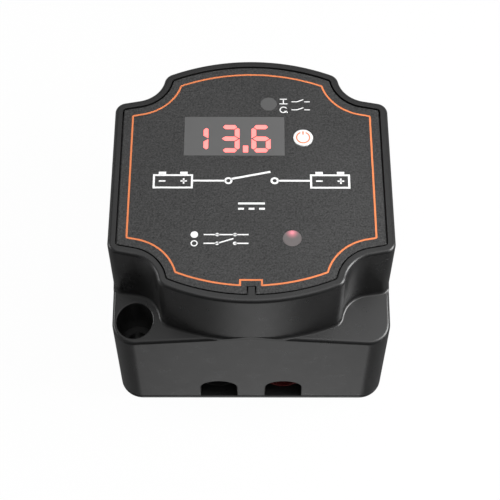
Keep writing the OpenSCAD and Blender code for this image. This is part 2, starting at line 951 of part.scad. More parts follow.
// Brass strips under the stud heads that carry each battery's voltage up to the board.
module sense_strips() {
    color([0.85, 0.7, 0.4])
    for (s = [-1, 1])
        difference() {
            union() {
                translate([s * stud_x, 0, carrier_top])
                    cylinder(h = strip_t, r = stud_head_d / 2, $fn = round_fn);
                translate([s * (stud_x + strip_x + strip_t / 2) / 2, 0, carrier_top + strip_t / 2])
                    cube([strip_x + strip_t / 2 - stud_x, strip_w, strip_t], center = true);
                translate([s * strip_x - strip_t / 2, -strip_w / 2, carrier_top])
                    cube([strip_t, strip_w, board_top + solder_tail - carrier_top]);
            }
            translate([s * stud_x, 0, carrier_top - cut])
                cylinder(h = strip_t + 2 * cut, r = stud_neck_d / 2 + fit, $fn = round_fn);
        }
}

module contact_tip(z) {
    for (s = [-1, 1])
        translate([s * stud_x, 0, z])
            cylinder(h = tip_t, r = tip_d / 2, $fn = small_fn);
}

module fixed_contact_tips() {
    color([0.88, 0.88, 0.9])
    contact_tip(fixed_tip_z);
}

module moving_contact_tips() {
    color([0.88, 0.88, 0.9])
    contact_tip(moving_tip_z);
}

// Copper bridge with round ends and a hole for the pushrod.
module contact_bridge() {
    reach = stud_x + bridge_over - bridge_w / 2;
    color([0.82, 0.52, 0.32])
    translate([0, 0, bridge_z])
        difference() {
            linear_extrude(height = bridge_t)
                union() {
                    square([2 * reach, bridge_w], center = true);
                    for (s = [-1, 1])
                        translate([s * reach, 0])
                            circle(r = bridge_w / 2, $fn = round_fn);
                }
            translate([0, 0, -cut])
                cylinder(h = bridge_t + 2 * cut, r = rod_r + slip, $fn = small_fn);
        }
}

module contact_spring() {
    color([0.7, 0.7, 0.72])
    spring(contact_spring_r, spring_wire_r, bridge_top, contact_spring_l, contact_turns);
}

// Pushrod with the collar that the contact spring bears on.
module pushrod() {
    rod_end = bridge_z - rod_tail;
    rod_top = plunger_z + spring_seat_depth + spring_seat_depth;
    color([0.9, 0.88, 0.8]) {
        translate([0, 0, rod_end])
            cylinder(h = rod_top - rod_end, r = rod_r, $fn = small_fn);
        translate([0, 0, collar_z])
            cylinder(h = collar_t, r = collar_r, $fn = small_fn);
    }
}

module pushrod_clip() {
    color([0.6, 0.6, 0.62])
    translate([0, 0, bridge_z - clip_t - fit])
        difference() {
            cylinder(h = clip_t, r = clip_r, $fn = small_fn);
            translate([0, 0, -cut])
                cylinder(h = clip_t + 2 * cut, r = rod_r + fit, $fn = small_fn);
        }
}

// Iron plunger: it slides in the bobbin and is bored for the spring and the pushrod.
module plunger() {
    color([0.55, 0.56, 0.58])
    difference() {
        translate([0, 0, plunger_z])
            cylinder(h = plunger_top - plunger_z, r = plunger_d / 2, $fn = round_fn);
        translate([0, 0, plunger_z - cut])
            cylinder(h = spring_seat_depth + cut, r = spring_seat_r, $fn = small_fn);
        translate([0, 0, plunger_z])
            cylinder(h = 2 * spring_seat_depth + fit, r = rod_r + fit, $fn = small_fn);
    }
}

module return_spring() {
    seat_z = core_top - spring_seat_depth;
    color([0.7, 0.7, 0.72])
    spring(return_spring_r, spring_wire_r, seat_z, plunger_z + spring_seat_depth - seat_z, return_turns);
}

// Fixed iron core, riveted into the frame and bored for the pushrod.
module fixed_core() {
    color([0.55, 0.56, 0.58])
    difference() {
        union() {
            translate([0, 0, frame_z])
                cylinder(h = frame_t, r = core_r - frame_t / 2, $fn = round_fn);
            translate([0, 0, bobbin_z])
                cylinder(h = core_top - bobbin_z, r = core_r, $fn = round_fn);
        }
        translate([0, 0, frame_z - cut])
            cylinder(h = core_top - frame_z + 2 * cut, r = rod_r + slip, $fn = small_fn);
        translate([0, 0, core_top - spring_seat_depth])
            cylinder(h = spring_seat_depth + cut, r = spring_seat_r, $fn = small_fn);
    }
}

// Iron frame: a base with two legs beside the coil.
module relay_frame() {
    color([0.62, 0.63, 0.65])
    difference() {
        union() {
            translate([-frame_w / 2, -frame_l / 2, frame_z])
                cube([frame_w, frame_l, frame_t]);
            for (s = [-1, 1])
                translate([s * (frame_w - frame_t) / 2 - frame_t / 2, -leg_l / 2, frame_z])
                    cube([frame_t, leg_l, frame_top_z - frame_z]);
        }
        translate([0, 0, frame_z - cut])
            cylinder(h = frame_t + 2 * cut, r = core_r - frame_t / 2 + fit, $fn = round_fn);
        at_four(frame_screw_x, frame_screw_y)
            translate([0, 0, frame_z - cut])
                cylinder(h = frame_t + 2 * cut, r = frame_screw_r + slip, $fn = small_fn);
    }
}

module frame_top_plate() {
    color([0.62, 0.63, 0.65])
    difference() {
        translate([-frame_w / 2, -leg_l / 2, frame_top_z])
            cube([frame_w, leg_l, frame_top_t]);
        translate([0, 0, frame_top_z - cut])
            cylinder(h = frame_top_t + 2 * cut, r = plunger_d / 2 + tube_gap, $fn = round_fn);
    }
}

module frame_screws() {
    color([0.75, 0.75, 0.77])
    at_four(frame_screw_x, frame_screw_y)
        translate([0, 0, frame_z + frame_t + frame_head_h])
            mirror([0, 0, 1])
                screw_up(frame_screw_r, frame_head_r, frame_head_h, frame_t + screw_bite - cut);
}

// Bobbin: a tube between two flanges, with a tab that holds the coil pins.
module coil_bobbin() {
    bore_r = plunger_d / 2 + tube_gap;
    color([0.85, 0.85, 0.8])
    difference() {
        union() {
            for (z = [bobbin_z, frame_top_z - flange_t])
                translate([0, 0, z])
                    cylinder(h = flange_t, r = bobbin_d / 2, $fn = round_fn);
            translate([0, 0, bobbin_z])
                cylinder(h = bobbin_h, r = bore_r + tube_wall, $fn = round_fn);
            translate([-pin_tab_w / 2, leg_l / 2 + slip, frame_top_z - flange_t])
                cube([pin_tab_w, pin_y + pin_in - leg_l / 2 - slip, flange_t]);
        }
        translate([0, 0, bobbin_z - cut])
            cylinder(h = bobbin_h + 2 * cut, r = bore_r, $fn = round_fn);
        for (s = [-1, 1])
            translate([s * pin_x, pin_y, frame_top_z - flange_t - cut])
                cylinder(h = flange_t + 2 * cut, r = pin_r + fit, $fn = small_fn);
    }
}

module coil_winding() {
    inner_r = plunger_d / 2 + tube_gap + tube_wall + fit;
    outer_r = bobbin_d / 2 - winding_in;
    color([0.7, 0.35, 0.15])
    translate([0, 0, bobbin_z + flange_t + fit])
        difference() {
            cylinder(h = bobbin_h - 2 * flange_t - 2 * fit, r = outer_r, $fn = round_fn);
            translate([0, 0, -cut])
                cylinder(h = bobbin_h, r = inner_r, $fn = round_fn);
        }
}

module coil_pins() {
    root_z = frame_top_z - flange_t - pin_root;
    color([0.85, 0.85, 0.87])
    for (s = [-1, 1])
        translate([s * pin_x, pin_y, root_z])
            cylinder(h = board_top + solder_tail - root_z, r = pin_r, $fn = small_fn);
}

housing();
base_plate();
base_plate_screws();
label_overlay();
display_window();
mode_led_window();
status_led_window();
power_button();
button_switch();
switch_plunger();
circuit_board();
board_screws();
display_module();
mode_led();
status_led();
controller_chip();
driver_transistor();
flyback_diode();
supply_capacitor();
terminal_carrier();
carrier_screws();
input_stud();
output_stud();
flat_washers();
spring_washers();
stud_nuts();
input_boot();
output_boot();
sense_strips();
fixed_contact_tips();
moving_contact_tips();
contact_bridge();
contact_spring();
pushrod();
pushrod_clip();
plunger();
return_spring();
fixed_core();
relay_frame();
frame_top_plate();
frame_screws();
coil_bobbin();
coil_winding();
coil_pins();
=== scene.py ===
"""A battery isolator relay: a dark moulded box with a keyed label, a red display and two cable notches.

Every length in the shape functions is in millimetres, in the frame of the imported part: +Z up, the notches
facing -Y and the origin in the middle of the underside. put_mesh() turns them into metres.
"""

import math

import bmesh
import bpy
import numpy as np
from mathutils import Matrix, Vector


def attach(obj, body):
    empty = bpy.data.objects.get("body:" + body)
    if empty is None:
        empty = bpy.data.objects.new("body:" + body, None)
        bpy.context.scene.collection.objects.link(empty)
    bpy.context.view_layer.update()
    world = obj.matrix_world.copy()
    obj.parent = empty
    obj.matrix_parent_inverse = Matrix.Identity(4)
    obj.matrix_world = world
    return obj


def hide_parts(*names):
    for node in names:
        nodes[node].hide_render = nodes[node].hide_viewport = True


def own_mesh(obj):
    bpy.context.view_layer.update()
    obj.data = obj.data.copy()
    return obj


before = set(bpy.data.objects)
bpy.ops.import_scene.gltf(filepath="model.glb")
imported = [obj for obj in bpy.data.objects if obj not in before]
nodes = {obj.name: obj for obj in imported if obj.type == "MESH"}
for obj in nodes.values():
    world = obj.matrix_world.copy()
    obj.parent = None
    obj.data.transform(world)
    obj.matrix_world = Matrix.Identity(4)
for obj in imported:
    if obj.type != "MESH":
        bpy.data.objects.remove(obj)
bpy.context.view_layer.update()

MM = 0.001
SMOOTH_DEG = 40.0

# The housing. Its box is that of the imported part. The forms inside the box are fitted to the photograph.
BODY_W, BODY_D, BODY_H = 68.0, 70.4, 52.0
HALF_W, HALF_D = BODY_W / 2, BODY_D / 2
WALL, PLATE_T = 2.4, 1.2
CORNER_R, BOW_R, NOTCH_R = 5.85, 50.4, 7.63
HORN_R, SHOULDER_R, SHARP_R = 3.1, 2.9, 0.3
NOTCH_IN_X, NOTCH_IN_Y = 4.5, 5.06
NOTCH_X, NOTCH_Y = HALF_W - NOTCH_IN_X, HALF_D - NOTCH_IN_Y
LEDGE_DEG = 11.3
LEDGE = math.radians(LEDGE_DEG)
LEDGE_Y = NOTCH_Y - NOTCH_R / math.cos(LEDGE) - NOTCH_IN_X * math.tan(LEDGE)

# The sloping shelves, and how far the upper walls are set in at their foot and at the rim.
SHELF_DROP, SHELF_FALL, SHELF_RISE = 17.86, 3.84, 2.09
SHELF_H = BODY_H - SHELF_DROP
FALL_SLOPE = SHELF_FALL / HALF_W
RISE_SLOPE = SHELF_RISE / (HALF_D - LEDGE_Y)
FOOT_IN, RIM_IN, RIM_W = 0.05, 0.03, 1.9
RECESS_IN = RIM_IN + RIM_W
MOAT_W, LABEL_IN = 0.6, RECESS_IN + 0.4

# Radii of the rounded edges.
BASE_FOOT_R, SHELF_EDGE_R, FILLET_R = 0.4, 0.8, 0.7
RIM_EDGE_R, RIM_INNER_R, BORE_LIP_R, NOTCH_EDGE_R = 0.9, 0.06, 0.35, 0.3

# Heights.
LOW_CEILING = SHELF_H - SHELF_FALL - WALL
INSIDE_TOP, MOAT_Z, RECESS_Z, LABEL_TOP = 49.5, 50.1, 51.5, 51.8
LENS_Z, PRINT_LOW, PRINT_HIGH = LABEL_TOP - 1.5, LABEL_TOP - 0.02, LABEL_TOP + 0.02
CARRIER_TOP, BOARD_TOP = 15.6, 43.9
CUT_TOP = BODY_H + 1

# Columns, bosses and posts inside, and the bores through them.
MOUNT_X, MOUNT_Y = HALF_W - 5.6, HALF_D - 5.9
MOUNT_R, MOUNT_TOP, HEAD_BORE_R, HEAD_BORE_DEPTH = 2.8, 24, 4.4, 11.5
COLUMN_R, BOSS_R, PILOT_R, PILOT_DEPTH = 6.2, 3.6, 1.55, 7
CARRIER_BOSS, CARRIER_BOSS_R = (28.6, 12.0), 3.4
POST, POST_R = (27.0, LEDGE_Y - 7.7), 2.6
DIVIDER_W, DIVIDER_H = 1.6, 11.7

# The cable notches, and the key that holds the label in place.
CABLE_X, CABLE_W, CABLE_H, CABLE_FLARE, ARCH_SHARE = 8.3, 9.1, 8.7, 0.15, 0.4
KEY_W, KEY_L, TAB_W, KEY_CORNER_R = 2.2, 2.2, 1.5, 0.1

# The openings in the label, and the clearances round what sits in them.
WINDOW_X, WINDOW_Y, WINDOW_W, WINDOW_L = -4.2, 11.65, 24.75, 11.7
MODE_LIGHT, MODE_R = (4.3, 21.5), 2.05
STATUS_LIGHT, STATUS_R = (9.6, -17.9), 2.2
LIGHTS = ((MODE_LIGHT, MODE_R), (STATUS_LIGHT, STATUS_R))
BUTTON, BUTTON_R = (12.72, 11.1), 2.45
LENS_GAP, WINDOW_LEDGE, LIGHT_LEDGE, BUTTON_GAP = 0.05, 1.5, 0.8, 0.15
DIGIT_W, DIGIT_H, DIGIT_Y = 4.7, 8.2, 10.85


# Shapes.
def put_mesh(name, points, faces):
    """A mesh object of points in millimetres. Edges sharper than SMOOTH_DEG stay crisp."""
    mesh = bpy.data.meshes.new(name)
    mesh.from_pydata((np.asarray(points, float) * MM).tolist(), [], [list(map(int, f)) for f in faces])
    mesh.validate()
    mesh.shade_smooth()
    mesh.set_sharp_from_angle(angle=math.radians(SMOOTH_DEG))
    piece = bpy.data.objects.new(name, mesh)
    bpy.context.scene.collection.objects.link(piece)
    return piece


def skin_faces(rows, columns):
    """Quads between neighbouring rows of points. Each row closes on itself."""
    r, c = np.meshgrid(np.arange(rows - 1), np.arange(columns), indexing="ij")
    a, b = r * columns + c, r * columns + (c + 1) % columns
    return np.stack([a, b, b + columns, a + columns], -1).reshape(-1, 4)


def ring_solid(name, rings):
    """A closed solid through rings of points, in order, with a flat cap on the first and the last."""
    rings = np.asarray(rings, float)
    rows, columns = rings.shape[:2]
    faces = skin_faces(rows, columns).tolist()
    faces.append(list(range(columns))[::-1])
    faces.append([(rows - 1) * columns + k for k in range(columns)])
    return put_mesh(name, rings.reshape(-1, 3), faces)


def circle(sides):
    """Even points (cos a, sin a) round the unit circle."""
    a = np.linspace(0, 2 * math.pi, sides, endpoint=False)
    return np.stack([np.cos(a), np.sin(a)], -1)


def arc(centre, r, start, end, steps, first=0):
    """Points at centre + r (cos a, sin a) for angles a in even steps from start to end, in degrees."""
    a = np.radians(np.linspace(start, end, steps + 1)[first:])
    return np.stack([centre[0] + r * np.cos(a), centre[1] + r * np.sin(a)], -1)


def angle_of(v):
    return math.degrees(math.atan2(v[1], v[0]))


def crossing(c1, r1, c2, r2):
    """Where two circles cross, on the left of the way from the first centre to the second."""
    apart = c2 - c1
    d = np.hypot(*apart)
    along = (r1 * r1 - r2 * r2 + d * d) / (2 * d)
    u = apart / d
    return c1 + along * u + math.sqrt(r1 * r1 - along * along) * np.array([-u[1], u[0]])


def all_round(q):
    """A whole outline from its first quarter, anticlockwise from the middle of the right side."""
    return np.concatenate([q, q[-2::-1] * [-1, 1], q[1:] * [-1, -1], q[-2:0:-1] * [1, -1]])


def plan(inset):
    """The upper plan, of arcs: shoulder, sloping ledge, hollow corner, horn and bow, all set in by inset."""
    hollow, bow = np.array([NOTCH_X, NOTCH_Y]), np.array([0.0, HALF_D - BOW_R])
    n = np.array([math.sin(LEDGE), math.cos(LEDGE)])
    rs, rh = max(SHOULDER_R - inset, SHARP_R), max(HORN_R - inset, SHARP_R)
    sx = HALF_W - inset - rs
    sy = (n @ hollow - NOTCH_R - inset - rs - n[0] * sx) / n[1]
    horn = crossing(bow, BOW_R - inset - rh, hollow, NOTCH_R + inset + rh)
    bow_a = angle_of(horn - bow)
    to_horn = angle_of(horn - hollow) % 360
    return all_round(np.concatenate([
        [[HALF_W - inset, 0]],
        arc((sx, sy), rs, 0, 90 - LEDGE_DEG, 12),
        arc(hollow, NOTCH_R + inset, 270 - LEDGE_DEG, to_horn, 28),
        arc(horn, rh, angle_of(hollow - horn), bow_a, 12, 1),
        arc(bow, BOW_R - inset, bow_a, 90, 36, 1),
    ]))


def base_plan(inset, r=CORNER_R):
    """The rounded rectangle of the base, with a point in the middle of each side."""
    r, x, y = r - inset, HALF_W - r, HALF_D - r
    return all_round(np.concatenate([[[HALF_W - inset, 0]], arc((x, y), r, 0, 90, 20), [[0, HALF_D - inset]]]))


def box_outline(x, y, w, l, r=0.15):
    """A rectangle with small rounded corners, anticlockwise."""
    corners = [((x + w / 2 - r, y - l / 2 + r), -90), ((x + w / 2 - r, y + l / 2 - r), 0),
               ((x - w / 2 + r, y + l / 2 - r), 90), ((x - w / 2 + r, y - l / 2 + r), 180)]
    return np.concatenate([arc(c, r, s, s + 90, 4) for c, s in corners])


def at_height(outline, z):
    return np.column_stack([outline, np.broadcast_to(z, len(outline))])


def shelf_at(p):
    """Height of the sloping shelves: they fall to the sides and rise from the front and back edges."""
    return SHELF_H - FALL_SLOPE * np.abs(p[:, 0]) + RISE_SLOPE * (HALF_D - np.abs(p[:, 1]))


def quarter_turn(r, steps):
    """Pairs (in, down) along a rounded edge of radius r, from its upright end to its level end."""
    a = np.radians(np.linspace(0, 90, steps + 1))
    return np.stack([r * (1 - np.cos(a)), r * (1 - np.sin(a))], -1)


def prism(name, outline, low, high):
    return ring_solid(name, [at_height(outline, low), at_height(outline, high)])


def turned(name, centre, profile, sides=64):
    """A turned piece: profile points (radius, height) carried round an upright axis at centre."""
    return ring_solid(name, [at_height(centre + r * circle(sides), z) for r, z in profile])


def baked(piece):
    """The piece with its modifiers worked into its mesh."""
    graph = bpy.context.evaluated_depsgraph_get()
    mesh = bpy.data.meshes.new_from_object(piece.evaluated_get(graph))
    piece.modifiers.clear()
    piece.data = mesh
    return piece


def combine(piece, tools, operation):
    """Joins, or takes away, closed tools one after the other."""
    for tool in tools:
        step = piece.modifiers.new(operation.lower(), "BOOLEAN")
        step.operation, step.solver, step.object = operation, "EXACT", tool
    baked(piece)
    for tool in tools:
        bpy.data.objects.remove(tool, do_unlink=True)
    return piece


def even_shading(piece):
    """Smooth shading in which large flat faces keep their own direction beside small rounded edges."""
    piece.data.shade_smooth()
    piece.data.set_sharp_from_angle(angle=math.radians(SMOOTH_DEG))
    step = piece.modifiers.new("even", "WEIGHTED_NORMAL")
    step.mode, step.weight, step.keep_sharp = "FACE_AREA", 100, True
    return baked(piece)


def joined(name, pieces):
    """One object from several, each a closed shell of it."""
    points, faces, count = [], [], 0
    for piece in pieces:
        mesh = piece.data
        co = np.empty(len(mesh.vertices) * 3)
        mesh.vertices.foreach_get("co", co)
        points.append(co.reshape(-1, 3) / MM)
        faces += [[v + count for v in p.vertices] for p in mesh.polygons]
        count += len(mesh.vertices)
        bpy.data.objects.remove(piece, do_unlink=True)
    return put_mesh(name, np.concatenate(points), faces)


# Housing.
def base_block():
    """The base: a rounded foot, upright walls, and an edge that follows the sloping shelves."""
    near_edge, well_in = SHELF_EDGE_R + 0.1, CORNER_R - 0.4
    rings = [at_height(base_plan(i), PLATE_T + d) for i, d in quarter_turn(BASE_FOOT_R, 5)[::-1]]
    for i, down in quarter_turn(SHELF_EDGE_R, 8):
        p = base_plan(i)
        rings.append(at_height(p, shelf_at(p) - down))
    for p in (base_plan(near_edge), base_plan(well_in), base_plan(well_in) * 0.5):
        rings.append(at_height(p, shelf_at(p)))
    return ring_solid("base_block", rings)


def upper_block():
    """The upper part: a foot fillet on the shelves, walls, a rounded rim, the recess and the moat round it."""
    sunk, root_depth, hair = 0.015, 3.0, 0.01
    near_edge, near_recess = 0.03, 0.09
    limit = np.array([HALF_W, HALF_D]) - hair
    rings = []
    for up, flare in quarter_turn(FILLET_R, 7):
        p = np.clip(plan(FOOT_IN - flare), -limit, limit)
        rings.append(at_height(p, shelf_at(p) + up - sunk))
    low = rings[0].copy()
    low[:, 2] -= root_depth
    rings.insert(0, low)
    for i, down in quarter_turn(RIM_EDGE_R, 9):
        rings.append(at_height(plan(RIM_IN + i), BODY_H - down))
    rings.append(at_height(plan(RIM_IN + RIM_EDGE_R + near_edge), BODY_H))
    rings.append(at_height(plan(RECESS_IN - near_recess), BODY_H))
    for i, down in quarter_turn(RIM_INNER_R, 2)[::-1]:
        rings.append(at_height(plan(RECESS_IN - i), BODY_H - down))
    rings.append(at_height(plan(RECESS_IN), MOAT_Z))
    rings.append(at_height(plan(RECESS_IN + MOAT_W), MOAT_Z))
    rings.append(at_height(plan(RECESS_IN + MOAT_W), RECESS_Z))
    return ring_solid("upper_block", rings)


def shelf_bore(x, y):
    """The wide bore for the screw's head: its mouth is rounded and follows the slope of the shelf."""
    lift = 0.004
    round_bore = circle(72)
    floor_z = float(shelf_at(np.array([[x, y]]))[0]) - HEAD_BORE_DEPTH
    rings = [at_height([x, y] + round_bore * HEAD_BORE_R, floor_z)]
    for i, down in quarter_turn(BORE_LIP_R, 6):
        p = [x, y] + round_bore * (HEAD_BORE_R + i)
        rings.append(at_height(p, shelf_at(p) - down + lift))
    rings.append(at_height(p, shelf_at(p) + 1.0))
    return ring_solid("head_bore", rings)


def cable_notch(x):
    """A notch through the front wall: flared sides under half an ellipse, with a rounded outer edge."""
    a = np.radians(np.linspace(0, 180, 33))
    arch_foot, rise = PLATE_T + CABLE_H * (1 - ARCH_SHARE), CABLE_H * ARCH_SHARE
    low, front, past = PLATE_T - 1.5, -HALF_D, 1.0
    steps = [(0, front + WALL + past)] + [(i, front + d) for i, d in quarter_turn(NOTCH_EDGE_R, 5)]
    steps.append((NOTCH_EDGE_R, front - past))
    rings = []
    for grow, y in steps:
        w = CABLE_W / 2 + grow
        arch = np.column_stack([w * np.cos(a), arch_foot + (rise + grow) * np.sin(a)])
        foot = w + CABLE_FLARE
        p = np.concatenate([[[-foot, low], [foot, low]], arch])
        rings.append(np.column_stack([x + p[:, 0], np.full(len(p), y), p[:, 1]]))
    return ring_solid("cable_notch", rings)


def window_cut(grow, low):
    return prism("window_cut", box_outline(WINDOW_X, WINDOW_Y, WINDOW_W + grow, WINDOW_L + grow), low, CUT_TOP)


def round_cut(centre, r, low):
    return turned("round_cut", centre, [(r, low), (r, CUT_TOP)])


def pin(centre, r, low, high, sides=64):
    """A plain upright cylinder."""
    return turned("pin", centre, [(r, low), (r, high)], sides)


def make_housing():
    """The hollow moulding: both blocks in one, with the key, rooms, bosses, bores, openings and notches."""
    four = [(sx, sy) for sx in (-1, 1) for sy in (-1, 1)]
    shell = combine(base_block(), [upper_block()], "UNION")

    tab_front, tab_back = -HALF_D + RIM_IN + RIM_EDGE_R, -HALF_D + RECESS_IN + KEY_L
    gap_front, gap_end = -HALF_D + RECESS_IN + 0.1, 0.3
    gap_plan = box_outline(0, (gap_front + tab_back + gap_end) / 2, KEY_W, tab_back + gap_end - gap_front,
                           KEY_CORNER_R)
    tab_plan = box_outline(0, (tab_front + tab_back) / 2, TAB_W, tab_back - tab_front, KEY_CORNER_R)
    combine(shell, [prism("gap", gap_plan, MOAT_Z, CUT_TOP)], "DIFFERENCE")
    combine(shell, [prism("tab", tab_plan, MOAT_Z - 0.2, BODY_H - 0.01)], "UNION")

    low_room = prism("low_room", base_plan(WALL), PLATE_T - 1, LOW_CEILING)
    kept = [pin((s * MOUNT_X, s * MOUNT_Y), COLUMN_R, 0, BODY_H) for s in (-1, 1)]
    kept += [pin((s * MOUNT_X, -s * MOUNT_Y), BOSS_R, 0, BODY_H) for s in (-1, 1)]
    kept += [pin((sx * CARRIER_BOSS[0], sy * CARRIER_BOSS[1]), CARRIER_BOSS_R, CARRIER_TOP, BODY_H, 32)
             for sx, sy in four]
    kept.append(prism("divider", box_outline(0, 0, DIVIDER_W, BODY_D - WALL), PLATE_T - 2, PLATE_T + DIVIDER_H))
    combine(low_room, kept, "DIFFERENCE")
    high_room = prism("high_room", plan(WALL), LOW_CEILING - 3.0, INSIDE_TOP)
    posts = [pin((sx * POST[0], sy * POST[1]), POST_R, BOARD_TOP, BODY_H, 32) for sx, sy in four]
    combine(high_room, posts, "DIFFERENCE")

    cuts = []
    for s in (-1, 1):
        cuts.append(shelf_bore(s * MOUNT_X, s * MOUNT_Y))
        cuts.append(pin((s * MOUNT_X, s * MOUNT_Y), MOUNT_R, 0, MOUNT_TOP))
        cuts.append(pin((s * MOUNT_X, -s * MOUNT_Y), PILOT_R, 0, PLATE_T + PILOT_DEPTH, 32))
    cuts.append(window_cut(2 * LENS_GAP, LENS_Z))
    cuts.append(window_cut(-WINDOW_LEDGE, INSIDE_TOP - 1))
    for centre, r in LIGHTS:
        cuts.append(round_cut(centre, r + LENS_GAP, LENS_Z))
        cuts.append(round_cut(centre, r - LIGHT_LEDGE, INSIDE_TOP - 1))
    cuts.append(round_cut(BUTTON, BUTTON_R + BUTTON_GAP, INSIDE_TOP - 1))
    cuts += [low_room, high_room]
    cuts += [cable_notch(s * CABLE_X) for s in (-1, 1)]
    combine(shell, cuts, "DIFFERENCE")
    even_shading(shell)
    shell.name = "moulded_housing"
    return shell


# Plate, label and button.
def make_base_plate():
    """The plate under the housing: softened edges, two clear holes and two countersinks."""
    corner_r, low_edge_r, high_edge_r, hole_r = 5.9, 0.25, 0.12, 3.1
    sink = [(3.85, -1), (2.85, 0), (1.65, PLATE_T), (1.65, 2)]
    rings = [at_height(base_plan(i, corner_r), d) for i, d in quarter_turn(low_edge_r, 4)[::-1]]
    rings += [at_height(base_plan(i, corner_r), PLATE_T - d) for i, d in quarter_turn(high_edge_r, 3)]
    plate = ring_solid("plate_moulding", rings)
    cuts = [pin((s * MOUNT_X, s * MOUNT_Y), hole_r, -1, 2) for s in (-1, 1)]
    cuts += [turned("sink", (s * MOUNT_X, -s * MOUNT_Y), sink, 48) for s in (-1, 1)]
    return even_shading(combine(plate, cuts, "DIFFERENCE"))


def make_plate_screws():
    """Countersunk self-tapping screws with a cross recess. The thread is a pile of nine ridges."""
    root_r, crest_r, pitch, slot_l, slot_w, slot_top = 1.2, 1.48, 0.62, 3.0, 0.55, 0.9
    profile = [(2.55, 0.05), (2.7, 0.12), (2.7, 0.2), (1.45, PLATE_T)]
    for k in range(9):
        z = PLATE_T + 0.35 + k * pitch
        profile += [(root_r, z), (crest_r, z + 0.2), (root_r, z + 0.4)]
    profile += [(1.0, PLATE_T + 5.9), (0.3, PLATE_T + 6.0)]
    made = []
    for s in (-1, 1):
        x, y = s * MOUNT_X, -s * MOUNT_Y
        screw = turned("screw", (x, y), profile, 40)
        slots = [prism("slot", box_outline(x, y, w, l, 0.1), -1, slot_top)
                 for w, l in ((slot_l, slot_w), (slot_w, slot_l))]
        made.append(combine(screw, slots, "DIFFERENCE"))
    return joined("plate_screws", made)


def make_label():
    """The label film: the upper plan set in, with its key notch and openings for window, lights and button."""
    soft, key_y, key_l, key_r, low = 0.05, -HALF_D + 2.2, 4.5, 0.08, 50
    film = ring_solid("label_film", [
        at_height(plan(LABEL_IN), RECESS_Z), at_height(plan(LABEL_IN), LABEL_TOP - soft),
        at_height(plan(LABEL_IN + soft), LABEL_TOP)])
    cuts = [prism("key", box_outline(0, key_y, KEY_W, key_l, key_r), RECESS_Z - 1, LABEL_TOP + 1)]
    cuts.append(window_cut(2 * LENS_GAP, low))
    cuts += [round_cut(centre, r + LENS_GAP, low) for centre, r in LIGHTS]
    cuts.append(round_cut(BUTTON, BUTTON_R + BUTTON_GAP, low))
    return even_shading(combine(film, cuts, "DIFFERENCE"))


def make_button():
    """The button cap: a turned disc, its flange under the top wall and its foot on the switch."""
    foot_r, foot_z, flange_r, flange_z, flange_top = 1.7, 48.4, 3.4, 48.85, 49.45
    profile = [(foot_r, foot_z), (foot_r, flange_z), (flange_r, flange_z), (flange_r, flange_top)]
    profile.append((BUTTON_R, flange_top))
    profile += [(BUTTON_R - i, BODY_H - d) for i, d in quarter_turn(0.15, 5)]
    profile += [(r, BODY_H) for r in (2.2, 1.2, 0.2)]
    return turned("button_cap", BUTTON, profile, 72)


# Prints.
def stroke(points, width, low, high, closed=False):
    """A line of even width: each point moves both ways along the mean of its two segments' side directions."""
    p = np.asarray(points, float)
    ahead = np.roll(p, -1, 0) - p
    behind = p - np.roll(p, 1, 0)
    if not closed:
        ahead[-1], behind[0] = behind[-1], ahead[0]
    u = ahead / np.linalg.norm(ahead, axis=1, keepdims=True)
    v = behind / np.linalg.norm(behind, axis=1, keepdims=True)
    side = np.stack([-(u + v)[:, 1], (u + v)[:, 0]], -1)
    side /= np.linalg.norm(side, axis=1, keepdims=True)
    reach = width / 2 / np.clip(np.sum(side * np.stack([-u[:, 1], u[:, 0]], -1), 1), 0.5, 1)
    left, right = p + side * reach[:, None], p - side * reach[:, None]
    count = len(p)
    rows = [at_height(q, z) for q, z in ((left, low), (right, low), (right, high), (left, high))]
    k = np.arange(count if closed else count - 1)
    after = (k + 1) % count
    faces = []
    for a, b in ((0, 1), (1, 2), (2, 3), (3, 0)):
        corners = [a * count + k, b * count + k, b * count + after, a * count + after]
        faces += np.stack(corners, -1).tolist()
    if not closed:
        faces.append([0, 3 * count, 2 * count, count])
        faces.append([count - 1, 2 * count - 1, 3 * count - 1, 4 * count - 1])
    return put_mesh("stroke", np.concatenate(rows), [f[::-1] for f in faces])


def line(points, width, closed=False):
    return stroke(points, width, PRINT_LOW, PRINT_HIGH, closed)


def level(x, y, half, width):
    """A level line about its middle."""
    return line([(x - half, y), (x + half, y)], width)


def circle_line(x, y, r, width, start=0.0, end=360.0):
    full = end - start >= 360
    p = arc((x, y), r, start, end, 48)
    return line(p[:-1] if full else p, width, full)


def make_border():
    """The coloured line: the upper plan set in, stepped back round the key at the front."""
    inset, width, step_left, step_right, step_y = 4.53, 0.45, -2.65, 2.4, -29.2
    p = plan(inset)
    front = (p[:, 1] < 0) & (np.abs(p[:, 0] + 0.12) < 2.53)
    k = np.flatnonzero(front)
    y = p[k[0] - 1, 1]
    step = np.array([[step_left, y], [step_left, step_y], [step_right, step_y], [step_right, y]])
    border = line(np.concatenate([p[:k[0]], step, p[k[-1] + 1:]]), width, True)
    border.name = "border_print"
    return border


